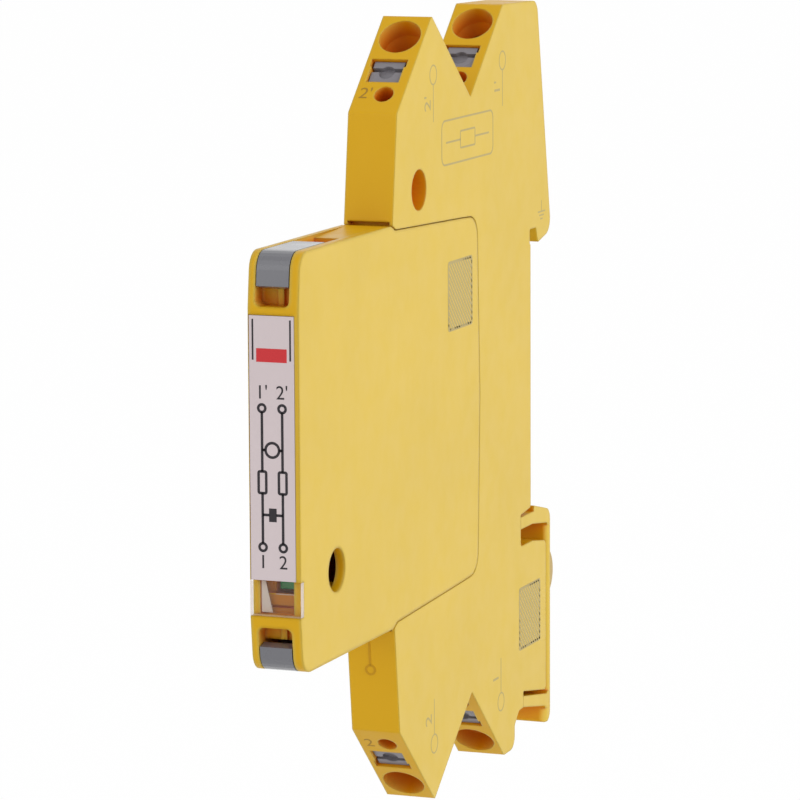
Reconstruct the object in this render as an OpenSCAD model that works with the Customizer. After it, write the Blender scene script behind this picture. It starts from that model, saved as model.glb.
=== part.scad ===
// Slim plug-in surge arrester for a 35 mm top-hat rail.
// X runs across the width, -Y faces the user, +Y faces the rail and +Z is up.
// The origin lies on the rail seat, at the middle of the rail.

/* [Body] */
// Width of the base and of the module
body_w = 6; // [5.8:0.1:7]
// Side wall of the base
base_wall = 0.7; // [0.5:0.1:0.9]
// Side wall of the module
module_wall = 1.15; // [0.9:0.05:1.3]
// Thickness of the two inset covers
cover_t = 0.8; // [0.6:0.1:0.9]
// Ledge that carries a cover all round
cover_ledge = 0.5; // [0.3:0.1:0.6]
// Rim between the base cover and the outer edges
cover_rim = 1.6; // [1.4:0.1:1.9]
// Clearance round pieces that stay in their seats
seat_gap = 0.05; // [0.02:0.01:0.1]
// Clearance round pieces that slide
slide_gap = 0.12; // [0.08:0.02:0.18]

/* [Base] */
// Distance from the rail seat to the front face, at the mouth
base_front = 47.1; // [46:0.1:48]
// Distance from the rail seat to the front corner of the first terminal
term_front = 45.5; // [44.5:0.1:46]
// Height of the lower end of a terminal face above the middle
term_low_z = 36.05; // [35.5:0.05:37]
// Height of a terminal's tip above the middle
term_tip_z = 46.45; // [46:0.05:47.5]
// Depth that a terminal face covers
term_run = 11.3; // [10.8:0.1:11.8]
// Distance between the two terminals of a side
term_pitch = 24.2; // [23.8:0.1:24.6]
// Radius of the light hole through the upper arm
light_hole_r = 2.4; // [1.8:0.1:2.5]

/* [Terminals] */
// Radius of a wire entry
wire_r = 2.5; // [2:0.1:2.6]
// Length of the straight wall of a wire entry
wire_len = 2.4; // [1.5:0.1:3]
// Radius where the wire entry's cone ends
wire_throat_r = 1.7; // [1.2:0.1:1.9]
// Place of a wire entry along the terminal face
wire_s = 11.97; // [11.7:0.01:12.1]
// Length of a release window along the terminal face
window_len = 3.55; // [3:0.05:3.8]
// Lower end of a release window along the terminal face
window_s = 4.83; // [4.6:0.01:5]
// Radius of a test hole
test_r = 1.15; // [0.8:0.05:1.2]
// Place of a test hole along the terminal face
test_s = 2.93; // [2.6:0.01:3.1]
// Sideways offset of a test hole
test_x = 0.55; // [0:0.05:0.8]
// Solid rim behind a terminal face
term_rim = 4; // [3.6:0.1:4.4]
// Travel of a release pusher
pusher_travel = 1.3; // [0.8:0.1:1.5]

/* [Rail clip] */
// Width of the rail
rail_w = 35; // [34.6:0.1:35.4]
// How far hook and foot reach behind the rail seat
rear_y = 7.3; // [6.8:0.1:7.8]
// Opening between the rail seat and the hook
hook_open = 2.05; // [1.6:0.05:2.4]
// Thickness of the foot's upper arm
arm_t = 1.5; // [1.2:0.1:1.8]
// Thickness of the foot's lower arm
low_arm_t = 1.4; // [1:0.1:1.6]
// Thickness of the foot's bar
bar_t = 1; // [0.8:0.1:1.2]
// Travel of the foot
foot_travel = 1.6; // [1:0.1:1.9]
// Height of the tongue between the foot's arms
tongue_h = 18.5; // [17.5:0.1:19]
// How far the contact strip bows out behind the foot
strip_bow = 1.35; // [0.8:0.05:1.6]

/* [Module] */
// Distance from the rail seat to the module's front
module_front = 75.4; // [73:0.1:78]
// Half height of the module in front of the base
module_half = 23.35; // [23.2:0.05:23.5]
// Half height of the pocket at the mouth
pocket_half = 22.85; // [22.7:0.05:22.95]
// Distance from the rail seat to the back of the pocket
pocket_back = 18.2; // [17.8:0.1:18.6]
// Clearance between module and pocket
pocket_gap = 0.12; // [0.1:0.02:0.24]
// Radius of the module's front corners
corner_r = 2.2; // [1.5:0.1:3]
// Travel of a release button
button_travel = 1.5; // [1:0.1:1.6]
// Height of the finger recess beside a button
recess_h = 2.3; // [2.2:0.05:2.4]
// Depth of the finger recess beside a button
recess_depth = 2.2; // [1.8:0.1:2.2]
// Corner radius of the finger recess
recess_r = 0.7; // [0.3:0.1:1]
// Height of the clear window
view_h = 4; // [3.6:0.1:4.1]
// Thickness of the clear window
view_t = 0.85; // [0.6:0.05:1]
// Travel of the status flag
flag_travel = 4.3; // [3:0.1:4.4]
// Radius of the light hole through the module
module_hole_r = 2.5; // [2:0.1:2.6]

/* [Metal] */
// Thickness of the copper bars and blades
copper_t = 0.8; // [0.6:0.05:0.9]
// Thickness of the clamp springs
spring_t = 0.4; // [0.3:0.05:0.5]
// Width of the contact blades
blade_w = 2.4; // [1.8:0.1:3]
// Thickness of the circuit board
board_t = 1; // [0.8:0.1:1.2]

/* [Hidden] */

$fn = 48;
arc_steps = 6;
far = 100;
hw = body_w / 2;

// Inner faces of the two hollow shells
cover_x = -hw + cover_t;
base_in_x = hw - base_wall;
module_in_x = hw - module_wall;

// Terminal face: its angle, and places measured along it and into the body
term_angle = atan2(term_tip_z - term_low_z, term_run);
function in_terminal(s, depth) = [
    -term_front + s * cos(term_angle) + depth * sin(term_angle),
    term_low_z + s * sin(term_angle) - depth * cos(term_angle)];
tip_y = -term_front + term_run;
window_x0 = -hw + 0.8;
window_x1 = hw - 1.2;
// Wider end of a release window, beside the wire entry
window_step = 0.22;
window_step_len = 1.15;
// Hollow for the clamp behind a terminal face, shallow below the test hole
clamp_s0 = 1.6;
clamp_s_deep = 4.6;
clamp_s1 = 14;
clamp_mid = 7;
clamp_depth = 12;
// Room for the copper bars: a well under each clamp, a duct beside the pocket and the spine behind it
duct_z0 = pocket_half + 2.15;
duct_z1 = term_low_z - 3.4;
bar_foot = in_terminal(clamp_s1 - copper_t, clamp_depth - copper_t / 2);
well_y0 = bar_foot.x - 5;
well_y1 = bar_foot.x + 2.4;
well_z1 = in_terminal(clamp_s1, clamp_depth).y + 0.3;
spine_front = -pocket_back + 1.8;

// Rail hook and seat
hook_top_z = rail_w / 2 + 0.5;
hook_tip_z = rail_w / 2 - 1.4;
seat_top_z = hook_tip_z - 0.1;
seat_relief = 0.3;
claw_z = -(rail_w / 2 - 0.63);
seat_low_z = claw_z + 0.27;

// Foot: roots of the arms, their heights there, and the drop of the arms towards the bar
root_y = -3.7;
low_root_y = -2.8;
arm_top_z = -(rail_w / 2 + 0.1);
arm_low_z = arm_top_z - arm_t;
tongue_top_z = arm_low_z - foot_travel - 0.55;
tongue_low_z = tongue_top_z - tongue_h;
low_arm_top_z = tongue_low_z - 0.65;
low_arm_low_z = low_arm_top_z - low_arm_t;
bar_low_z = low_arm_low_z - 3.8;
bar_in_y = rear_y - bar_t;
tongue_y = bar_in_y - 0.65;
arm_kink_y = 0.7;
arm_drop = 0.75;
low_arm_drop = 1.45;
// Thicker tip of the bar, and the round edges of the bar and of its tip
tip_extra = 0.8;
bar_edge_r = 0.7;
tip_edge_r = 1;
// Window in the bar for the contact strip's tab, and the duct of the earth bar
strip_z = tongue_top_z - 4.9;
strip_half = 2.6;
strip_t = 0.3;
tab_half = 0.75;
tab_x = 1;
earth_duct_half = 1.4;

// Spine of the base, and the light hole in its upper arm
spine_rear = root_y - 1.4;
spine_half = duct_z1 - 0.5;
top_rear_y = 2.5;
light_hole = [-term_front + 6.9, pocket_half + 3.8];

// Blades: heights from the middle, and how far they reach behind the module
blade_front_z = pocket_half - 7.85;
blade_rear_z = blade_front_z - 7;
blade_heights = [blade_front_z, blade_rear_z, 0, -blade_rear_z, -blade_front_z];
blade_reach = 5;
fork_t = 0.6;
fork_gap = 0.1;
bar_x0 = cover_x + 0.1;
bar_x1 = base_in_x - 0.1;
front_leg_y = spine_front + 5.5;
rear_leg_y = front_leg_y + 2.4;
earth_leg_y = rear_leg_y + 2.5;

// Module: front face, lean of the corners, and the step at the base's mouth
front_y = -module_front;
lean_z = module_half - 6.15;
lean = 0.65;
step_y = -base_front - 0.5;
step_len = 1.35;
plug_half = pocket_half - pocket_gap;
pocket_rear_half = pocket_half - 0.85;
pocket_bow = 0.8;
mouth_bevel = 0.6;
pocket_corner_r = 2.7;
// Shallow relief in the arms, over and under the module at the mouth
relief_x = hw - 0.4;
relief_depth = 1.5;
relief_z = pocket_half + mouth_bevel + 0.3;

// Front of the module, from the top: recess, label, window, recess
upper_recess_z = module_half - 6;
lower_recess_z = module_half - 5.1;
function recess_z(flip) = flip ? lower_recess_z : upper_recess_z;
view_low_z = -lower_recess_z + 1.3;
view_top_z = view_low_z + view_h;
view_back_y = front_y + view_t;
label_top_z = upper_recess_z - 0.95;
label_low_z = view_top_z + seat_gap;
label_t = 0.5;
label_x0 = -hw + 0.12;
label_x1 = hw - 0.58;
ledge_z = view_top_z - 1.65;
ledge_y0 = view_back_y + 0.75;
ledge_y1 = ledge_y0 + 1.1;
// Groove under the ledge
groove_z = ledge_z - 1.6;
groove_h = 0.3;

// Rib on the back wall of a finger recess
rib_x0 = -0.1;
rib_x1 = 0.6;
rib_t = 0.4;

// Buttons: places of the skirt with its slanted edge, the top and the stem.
// A pressed skirt stops above the round corners of its recess.
corner_in = recess_r - slide_gap;
corner_room = recess_r - sqrt(recess_r * recess_r - corner_in * corner_in) + seat_gap;
button_skirt = recess_depth - rib_t - 0.2;
button_slant = recess_h - button_travel - corner_room;
button_top_t = 1.8;
button_rear_y = front_y + 10.9;
bay_z = module_half - button_top_t - button_travel - 0.2;
slot_rear_y = button_rear_y + 6.5;
slot_depth = 1.3;
ramp_depth = 0.35;
ramp_len = 9;
stem_y0 = front_y + 5.2;
stem_y1 = front_y + 7.6;
stem_low_z = bay_z - 0.3;
spring_floor_z = stem_low_z - 2.9;
stem_x0 = cover_x + 0.6;
stem_x1 = module_in_x - 0.6;

// Hollow of the module
hollow_front_y = front_y + recess_depth;
hollow_step_y = front_y + 15.05;
hollow_rear_y = -pocket_back - 2.8;
hollow_half = plug_half - 3.1;
hollow_front_half = spring_floor_z - 1;
module_hole = [front_y + 10.6, view_top_z - 0.41];

// Status flag behind the window
flag_y0 = ledge_y1 + 0.2;
flag_t = 1;
flag_back_y = flag_y0 + flag_t + 0.7;
flag_low_z = view_top_z - 1.35;
flag_h = 9.3;
flag_x0 = -0.6;
flag_x1 = module_in_x - 0.15;
shutter_rear_y = module_hole.x + module_hole_r;
shutter_t = 0.8;
shutter_top_z = flag_low_z + flag_h - 1.1;
shutter_low_z = module_hole.y + module_hole_r + 0.4;
flag_spring_r = 0.85;
flag_spring_wire = 0.2;
flag_spring_h = 4;
flag_spring_top = flag_low_z + flag_h + flag_spring_h;

// Circuit board, its posts and what it carries
board_x1 = -0.2;
board_x0 = board_x1 - board_t;
board_y0 = front_y + 15.4;
board_y1 = hollow_rear_y - 3.5;
board_half = hollow_half - 1.6;
post_r = 1.2;
post_inset_y = 6;
post_inset_z = 2;
tube_r = (module_in_x - cover_x) / 2 - 0.2;
tube_len = 8;
tube_y = board_y0 + 22;
diode = [1.5, 5, 4];
diode_y = board_y0 + 7;
diode_z = board_half - 8;
resistor = [0.9, 2.5, 2.4];
resistor_y = board_y1 - 7.5;
resistor_z = [board_half - 13, board_half - 6];
button_spring_wire = 0.2;
button_spring_r = 1;

// Extrudes an outline drawn in (y, z) across the width from x0 to x1
module slab(x0, x1) {
    translate([x0, 0, 0]) rotate([90, 0, 90]) linear_extrude(x1 - x0) children();
}

// Rectangle between two corners (y, z)
module rect(y0, z0, y1, z1) {
    translate([y0, z0]) square([y1 - y0, z1 - z0]);
}

// Box between two corners
module block(low, high) {
    translate(low) cube(high - low);
}

// Round hole along X at a place (y, z)
module cross_hole(place, r) {
    translate([-far, place.x, place.y]) rotate([0, 90, 0]) cylinder(r = r, h = 2 * far);
}

// Outline with its corners (y, z, radius) rounded by arcs
function unit(v) = v / norm(v);
function flat(p) = [p.x, p.y];
function corner_arc(a, b, c, r) =
    r == 0 ? [b] :
    let (u = unit(a - b), v = unit(c - b), half = acos(u * v) / 2,
        centre = b + unit(u + v) * r / sin(half),
        from = b + u * r / tan(half) - centre, to = b + v * r / tan(half) - centre,
        start = atan2(from.y, from.x),
        turn = (atan2(to.y, to.x) - start + 540) % 360 - 180)
    [for (i = [0 : arc_steps])
        centre + r * [cos(start + turn * i / arc_steps), sin(start + turn * i / arc_steps)]];
function rounded(pts) = [for (i = [0 : len(pts) - 1])
    each corner_arc(flat(pts[(i + len(pts) - 1) % len(pts)]), flat(pts[i]),
        flat(pts[(i + 1) % len(pts)]), pts[i].z)];

// Clockwise outline (y, z, radius) with its edges moved out by g
function sized(p, r) = [p.x, p.y, r];
function left_of(a, b) = let (d = unit(b - a)) [-d.y, d.x];
function grown(pts, g) = [for (i = [0 : len(pts) - 1])
    let (b = flat(pts[i]), m = left_of(flat(pts[(i + len(pts) - 1) % len(pts)]), b),
        n = left_of(b, flat(pts[(i + 1) % len(pts)])))
    sized(b + g * (m + n) / (1 + m * n), pts[i].z)];

// Lower half of an outline, from its upper half
function mirrored(pts) = [for (i = [len(pts) - 1 : -1 : 0]) [pts[i].x, -pts[i].y, pts[i].z]];

// Bent strip of sheet along a path of (y, z) points
module strip(path, t) {
    for (k = [1 : len(path) - 1]) {
        step = path[k] - path[k - 1];
        translate(path[k - 1]) rotate(atan2(step.y, step.x)) translate([0, -t / 2])
            square([norm(step), t]);
        translate(path[k]) circle(d = t, $fn = 24);
    }
}

// Puts children in the frame of terminal i: X across, Y along its face, Z out of it.
// Terminals 0 and 1 are the upper front and rear ones, 2 and 3 the lower ones.
module at_terminal(i) {
    below(i > 1) translate([0, -term_front + (i % 2) * term_pitch, term_low_z]) rotate([term_angle, 0, 0])
        children();
}
module below(flip) {
    if (flip) mirror([0, 0, 1]) children();
    else children();
}

// Coil spring that stands on the origin
coil_sides = 6;
coil_steps = 10;
function coil_ring(r, wire, a, z) = [for (k = [0 : coil_sides - 1])
    let (p = 360 * k / coil_sides, d = r + wire * cos(p)) [d * cos(a), d * sin(a), z + wire * sin(p)]];
module coil(r, wire, h, turns) {
    n = turns * coil_steps;
    rise = (h - 2 * wire) / n;
    pts = [for (i = [0 : n]) each coil_ring(r, wire, 360 * i / coil_steps, wire + rise * i)];
    sides = [for (i = [0 : n - 1], k = [0 : coil_sides - 1])
        let (k2 = (k + 1) % coil_sides, q = i * coil_sides)
        [q + k, q + coil_sides + k, q + coil_sides + k2, q + k2]];
    first = [for (k = [0 : coil_sides - 1]) k];
    last = [for (k = [coil_sides - 1 : -1 : 0]) n * coil_sides + k];
    polyhedron(points = pts, faces = concat(sides, [first, last]), convexity = 6);
}

// Base
module base_outline() {
    polygon(rounded([
        [-base_front, -pocket_half, 0],
        [-base_front, pocket_half, 0],
        [-term_front, term_low_z, 0.4],
        [tip_y, term_tip_z, 0.3],
        [-term_front + term_pitch, term_low_z, 0.2],
        [tip_y + term_pitch, term_tip_z - 0.1, 0.8],
        [top_rear_y, term_tip_z - 0.35, 1.8],
        [rear_y, hook_top_z + 0.9, 0.5],
        [rear_y - 0.1, hook_tip_z + 1, 1.9],
        [hook_open + 0.75, hook_tip_z, 0.15],
        [hook_open, hook_top_z, 0.2],
        [-seat_relief, hook_top_z, 0.25],
        [-seat_relief, seat_top_z + seat_relief, 0],
        [0, seat_top_z, 0],
        [0, seat_low_z, 0],
        [-seat_relief, seat_low_z - seat_relief, 0],
        [root_y, arm_top_z + 0.35, 0],
        [root_y, tongue_top_z, 0.5],
        [arm_kink_y, tongue_top_z, 0],
        [tongue_y, tongue_top_z - arm_drop, 0.8],
        [tongue_y, tongue_low_z - low_arm_drop, 0.5],
        [low_root_y, tongue_low_z, 0.2],
        [low_root_y, low_arm_low_z, 0],
        [low_root_y - 1.6, low_arm_low_z - 0.1, 0.6],
        [low_root_y - 3.2, low_arm_low_z - 1.6, 0.8],
        [low_root_y - 3.2, -term_tip_z + 0.2, 1.6],
        [tip_y + term_pitch, -term_tip_z + 0.1, 0.6],
        [-term_front + term_pitch, -term_low_z, 0.2],
        [tip_y, -term_tip_z, 0.3],
        [-term_front, -term_low_z, 0.4]]));
}

// Pocket that takes the module, with a bevelled mouth and a slightly bowed back
module pocket_outline() {
    half = [[-far, pocket_half + mouth_bevel, 0],
        [-base_front - 0.1, pocket_half + mouth_bevel, 0],
        [-base_front + 1.1, pocket_half, 0],
        [-pocket_back - 6.8, pocket_rear_half, 0],
        [-pocket_back - pocket_bow, pocket_rear_half - 0.3, pocket_corner_r]];
    polygon(rounded(concat(half, [[-pocket_back, 0, 0]], mirrored(half))));
}

// Hollow of one half of the base
module terminal_hollow() {
    for (i = [0, 1]) translate([i * term_pitch, 0]) {
        translate([-term_front, term_low_z]) rotate(term_angle) {
            rect(clamp_s0, -clamp_mid, clamp_s1, -term_rim);
            rect(clamp_s_deep, -clamp_depth, clamp_s1, -term_rim);
        }
        rect(well_y0, duct_z0, well_y1, well_z1);
    }
    rect(well_y0, duct_z0, spine_rear, duct_z1);
}
module base_hollow() {
    terminal_hollow();
    mirror([0, 1]) terminal_hollow();
    rect(spine_front, -spine_half, spine_rear, spine_half);
}

// Seat of the base cover, parallel to the outer edges, grown by g
module base_cover_outline(g) {
    face = term_rim - cover_ledge;
    shift = [term_pitch, 0];
    arm = [[-base_front + cover_rim + 0.5, pocket_half + cover_rim, 0.6],
        sized(in_terminal(-1.6, face), 0.6),
        sized(in_terminal(clamp_s1 + 0.2, face), 0.6),
        [-term_front + term_pitch - 0.2, term_low_z - face + 0.9, 0.4],
        sized(in_terminal(0.2, face) + shift, 0.6),
        sized(in_terminal(clamp_s1 + 0.2, face) + shift, 0.6)];
    rear_arm = [[top_rear_y - cover_rim, term_tip_z - face + 1.4, 1],
        [rear_y - cover_rim - 0.6, hook_top_z + 2, 1],
        [-cover_rim, hook_top_z + 2, 1],
        [-cover_rim, seat_low_z + 1, 0.6],
        [root_y - 0.9, arm_top_z - 0.6, 0.6],
        [root_y - 0.9, tongue_top_z - 1.6, 0.6],
        [root_y + 2.6, tongue_top_z - 2.6, 0.6],
        [root_y + 2.6, tongue_low_z + 2, 0.6],
        [root_y - 0.9, tongue_low_z + 0.6, 0.6]];
    inner = [[spine_front - cover_ledge, -pocket_half - 0.6, 0.8],
        [spine_front - cover_ledge, pocket_half + 0.6, 0.8]];
    polygon(rounded(grown(concat(arm, rear_arm, mirrored(arm), inner), g)));
}

// Wire entry, release window and test hole of one terminal
module terminal_cuts() {
    translate([0, wire_s, -wire_len]) cylinder(r = wire_r, h = far);
    translate([0, wire_s, -term_rim - 0.01])
        cylinder(r1 = wire_throat_r, r2 = wire_r, h = term_rim - wire_len + 0.01);
    block([window_x0, window_s, -term_rim - 0.01], [window_x1, window_s + window_len, far]);
    block([window_x0 - window_step, window_s + window_len - window_step_len, -term_rim - 0.01],
        [window_x1 + window_step, window_s + window_len, far]);
    translate([test_x, test_s, -term_rim - 0.01]) cylinder(r = test_r, h = far);
}

module base_housing() {
    color([0.88, 0.7, 0.2]) difference() {
        slab(-hw, hw) base_outline();
        slab(-far, far) pocket_outline();
        slab(cover_x, base_in_x) base_hollow();
        slab(-far, cover_x) base_cover_outline(0);
        for (i = [0 : 3]) at_terminal(i) terminal_cuts();
        cross_hole(light_hole, light_hole_r);
        block([-relief_x, -far, -relief_z], [relief_x, -base_front + relief_depth, relief_z]);
        for (z = blade_heights)
            block([-blade_w / 2 - 0.2, -pocket_back - 2, z - copper_t / 2 - 0.2],
                [blade_w / 2 + 0.2, spine_front + 0.01, z + copper_t / 2 + 0.2]);
        block([bar_x0 - 0.1, spine_rear - 0.01, strip_z - earth_duct_half],
            [bar_x1 + 0.1, far, strip_z + earth_duct_half]);
    }
}
module base_cover() {
    color([0.88, 0.7, 0.2]) difference() {
        slab(-hw, cover_x) base_cover_outline(-seat_gap);
        cross_hole(light_hole, light_hole_r);
    }
}

// Foot: claw, two arms and a bar round the base's tongue
module foot_outline() {
    foot_root = root_y + seat_gap;
    low_root = low_root_y + seat_gap;
    polygon(rounded([
        [foot_root, arm_top_z, 0],
        [1.15, arm_top_z, 0],
        [1.25, claw_z, 0.12],
        [rear_y, claw_z - 1.4, 1.6],
        [rear_y, bar_low_z, 1.4],
        [bar_in_y - tip_extra, bar_low_z + 0.1, 0.3],
        [bar_in_y - tip_extra, low_arm_low_z - low_arm_drop - 0.05, 0.3],
        [low_root, low_arm_low_z, 0],
        [low_root, low_arm_top_z, 0],
        [bar_in_y, low_arm_top_z - low_arm_drop, 0.3],
        [bar_in_y, arm_low_z - arm_drop, 0.3],
        [arm_kink_y, arm_low_z, 0],
        [foot_root, arm_low_z, 0]]));
}
// Cut that rounds the two front edges of the bar between two heights
module bar_edges(edge_y, z0, z1, r) {
    for (side = [0, 1]) mirror([side, 0, 0]) translate([hw - r, edge_y + r, z0])
        linear_extrude(z1 - z0) difference() {
            translate([0, -r - 0.01]) square([far, r + 0.01]);
            circle(r = r);
        }
}
module rail_foot() {
    color([0.88, 0.7, 0.2]) difference() {
        slab(-hw, hw) foot_outline();
        bar_edges(bar_in_y, low_arm_top_z - low_arm_drop + 0.3, arm_low_z - arm_drop - 0.3, bar_edge_r);
        bar_edges(bar_in_y - tip_extra, -far, low_arm_low_z - low_arm_drop - 0.4, tip_edge_r);
        block([-tab_x - seat_gap, bar_in_y - 0.01, strip_z - tab_half - seat_gap],
            [tab_x + seat_gap, far, strip_z + tab_half + seat_gap]);
    }
}

// Bow of the contact strip, behind the foot's bar
module strip_bow_outline(inset) {
    bow_r = (strip_half * strip_half + strip_bow * strip_bow) / (2 * strip_bow);
    intersection() {
        translate([rear_y + strip_bow - bow_r, strip_z]) circle(r = bow_r - inset);
        rect(rear_y - inset, -far, far, far);
    }
}
// Bowed strip with folded sides behind the foot's bar, and a tab through the bar
module rail_contact_spring() {
    strip_x = hw - 0.1;
    color([0.75, 0.7, 0.66]) {
        difference() {
            slab(-strip_x, strip_x) strip_bow_outline(0);
            slab(-strip_x + strip_t, strip_x - strip_t) strip_bow_outline(strip_t);
        }
        block([-tab_x, tongue_y + 0.3, strip_z - tab_half],
            [tab_x, rear_y + strip_bow - strip_t / 2, strip_z + tab_half]);
    }
}

// Two prongs that grip a blade at height z, on a leg at leg_y
module fork(leg_y, z) {
    reach = copper_t / 2 + fork_gap + fork_t / 2;
    for (side = [-1, 1])
        strip([[leg_y, z + side * reach], [spine_front + 0.4, z + side * reach]], fork_t);
}

module contact_bar(i) {
    head = in_terminal(clamp_s1 - copper_t, term_rim + 0.6);
    run_z = duct_z0 + 1.2;
    turn_z = -strip_z + 2.5;
    front = [head, bar_foot, [bar_foot.x, run_z], [front_leg_y, run_z], [front_leg_y, blade_front_z - 1]];
    shift = [term_pitch, 0];
    rear = [head + shift, bar_foot + shift, [bar_foot.x + term_pitch, turn_z], [rear_leg_y, turn_z],
        [rear_leg_y, blade_rear_z - 1]];
    color([0.78, 0.5, 0.3]) below(i > 1) slab(bar_x0, bar_x1) {
        strip(i % 2 == 0 ? front : rear, copper_t);
        if (i % 2 == 0) fork(front_leg_y, blade_front_z);
        else fork(rear_leg_y, blade_rear_z);
    }
}

module earth_bar() {
    color([0.78, 0.5, 0.3]) slab(bar_x0, bar_x1) {
        strip([[earth_leg_y, 1], [earth_leg_y, strip_z], [tongue_y - copper_t / 2, strip_z]], copper_t);
        fork(earth_leg_y, 0);
    }
}

// Leaf spring that presses the wire against the contact bar
module clamp_spring(i) {
    leg_s = clamp_s1 - 1.5 * copper_t - spring_t / 2 - 0.1;
    back_s = clamp_s_deep + spring_t;
    color([0.75, 0.76, 0.78]) at_terminal(i) slab(bar_x0 + 0.3, bar_x1 - 0.3)
        strip([[leg_s - 1.4, -clamp_depth + 0.9], [back_s + 1.2, -clamp_depth + 0.4],
            [back_s, -clamp_depth + 1.4], [back_s, -term_rim - pusher_travel - 2.4],
            [back_s + 1.2, -term_rim - pusher_travel - 1.4], [leg_s, -clamp_depth + 2.6]], spring_t);
}

// Grey pusher with a screwdriver slot and a round dimple
module release_pusher(i) {
    top = -0.35;
    slot_s = window_s + 0.6 * window_len;
    mid_x = (window_x0 + window_x1) / 2;
    color([0.56, 0.54, 0.58]) at_terminal(i) difference() {
        block([window_x0 + slide_gap, window_s + slide_gap, -term_rim - 1],
            [window_x1 - slide_gap, window_s + window_len - slide_gap, top]);
        block([-far, slot_s - 0.3, top - 0.6], [far, slot_s + 0.3, far]);
        translate([mid_x, slot_s - 0.35, top - 0.6]) cylinder(r = 0.95, h = far);
    }
}

// Module
module module_outline() {
    half = [[front_y, lean_z, 8],
        [front_y + lean, module_half, corner_r],
        [step_y, module_half, 0.3],
        [step_y + step_len, plug_half, 0],
        [-pocket_back - 6.8, pocket_rear_half - pocket_gap, 0],
        [-pocket_back - pocket_bow - pocket_gap, pocket_rear_half - 0.3 - pocket_gap, pocket_corner_r]];
    polygon(rounded(concat(half, [[-pocket_back - pocket_gap, 0, 0]], mirrored(half))));
}

// Hollow of the module
module module_hollow() {
    rect(hollow_front_y, -hollow_front_half, hollow_rear_y, hollow_front_half);
    rect(hollow_step_y, -hollow_half, hollow_rear_y, hollow_half);
}

// Seat of the module cover, grown by g
module module_cover_outline(g) {
    upper = [[hollow_front_y - cover_ledge, hollow_front_half + cover_ledge, 0.8],
        [hollow_step_y - 3.5, hollow_front_half + cover_ledge, 1.2],
        [hollow_step_y - cover_ledge, hollow_half + cover_ledge, 1.2],
        [hollow_rear_y + cover_ledge, hollow_half + cover_ledge, 1.4]];
    polygon(rounded(grown(concat(upper, mirrored(upper)), g)));
}

// Window bay with its ledge and groove, and the run of the status flag behind it
module window_bay() {
    rect(view_back_y - 0.01, view_low_z + 0.1, ledge_y0, view_top_z + 0.01);
    rect(ledge_y0 - 0.01, groove_z, hollow_front_y, groove_z + groove_h);
    rect(ledge_y0 - 0.01, ledge_z, ledge_y1, view_top_z + 0.01);
    rect(ledge_y1 - 0.01, flag_low_z - flag_travel - 0.3, flag_back_y, view_top_z + 2);
}

// Finger recess in front of a button, with round corners
module finger_recess(low_z) {
    translate([0, hollow_front_y, 0]) rotate([90, 0, 0]) linear_extrude(far)
        polygon(rounded([[cover_x, low_z, recess_r], [cover_x, far, 0],
            [module_in_x, far, 0], [module_in_x, low_z, recess_r]]));
}

// Bay and stem well of a button, and the ramp behind it
module button_bay() {
    rect(hollow_front_y - 0.01, bay_z, button_rear_y + slide_gap, far);
    rect(button_rear_y, module_half - slot_depth, slot_rear_y, far);
    rect(stem_y0 - 0.3, spring_floor_z, stem_y1 + 0.3, bay_z + 0.01);
    polygon([[slot_rear_y - 0.01, module_half - ramp_depth], [slot_rear_y + ramp_len, module_half],
        [slot_rear_y + ramp_len, far], [slot_rear_y - 0.01, far]]);
}

module module_housing() {
    color([0.88, 0.7, 0.2]) {
        difference() {
            slab(-hw, hw) module_outline();
            slab(cover_x, module_in_x) {
                module_hollow();
                window_bay();
                button_bay();
                mirror([0, 1]) button_bay();
            }
            for (flip = [false, true]) below(flip) finger_recess(recess_z(flip));
            slab(-far, cover_x) module_cover_outline(0);
            block([-far, front_y - 1, view_low_z], [far, view_back_y, view_top_z]);
            block([label_x0 - seat_gap, front_y - 1, label_low_z - seat_gap],
                [label_x1 + seat_gap, front_y + label_t, label_top_z + seat_gap]);
            cross_hole(module_hole, module_hole_r);
            for (z = blade_heights)
                block([-blade_w / 2 - seat_gap, hollow_rear_y - 0.01, z - copper_t / 2 - seat_gap],
                    [blade_w / 2 + seat_gap, far, z + copper_t / 2 + seat_gap]);
        }
        for (flip = [false, true]) below(flip)
            block([rib_x0, hollow_front_y - rib_t, recess_z(flip) - 0.01],
                [rib_x1, hollow_front_y + 0.01, bay_z - 0.1]);
        board_posts(board_x1, module_in_x + 0.01);
        block([cover_x + seat_gap, flag_back_y, -hollow_front_half - 0.01],
            [flag_x1 - shutter_t - 0.2, flag_back_y + 0.8, view_top_z + 0.8]);
        block([cover_x + seat_gap, hollow_front_y - 0.01, -hollow_front_half - 0.01],
            [flag_x0 - 0.2, flag_back_y + 0.01, view_top_z + 0.8]);
        block([flag_x0, hollow_front_y - 0.01, flag_spring_top],
            [module_in_x + 0.01, flag_y0 + flag_t + 0.6, flag_spring_top + 0.8]);
    }
}

// Round posts that hold the circuit board at its corners
module board_posts(x0, x1) {
    for (y = [board_y0 + post_inset_y, board_y1 - post_inset_y], side = [-1, 1])
        translate([x0, y, side * (board_half - post_inset_z)]) rotate([0, 90, 0])
            cylinder(r = post_r, h = x1 - x0);
}

module module_cover() {
    color([0.88, 0.7, 0.2]) {
        difference() {
            slab(-hw, cover_x) module_cover_outline(-seat_gap);
            cross_hole(module_hole, module_hole_r);
        }
        board_posts(cover_x - 0.01, board_x0);
    }
}

module label_plate() {
    color([0.86, 0.8, 0.82])
        block([label_x0, front_y, label_low_z], [label_x1, front_y + label_t, label_top_z]);
}

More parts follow.
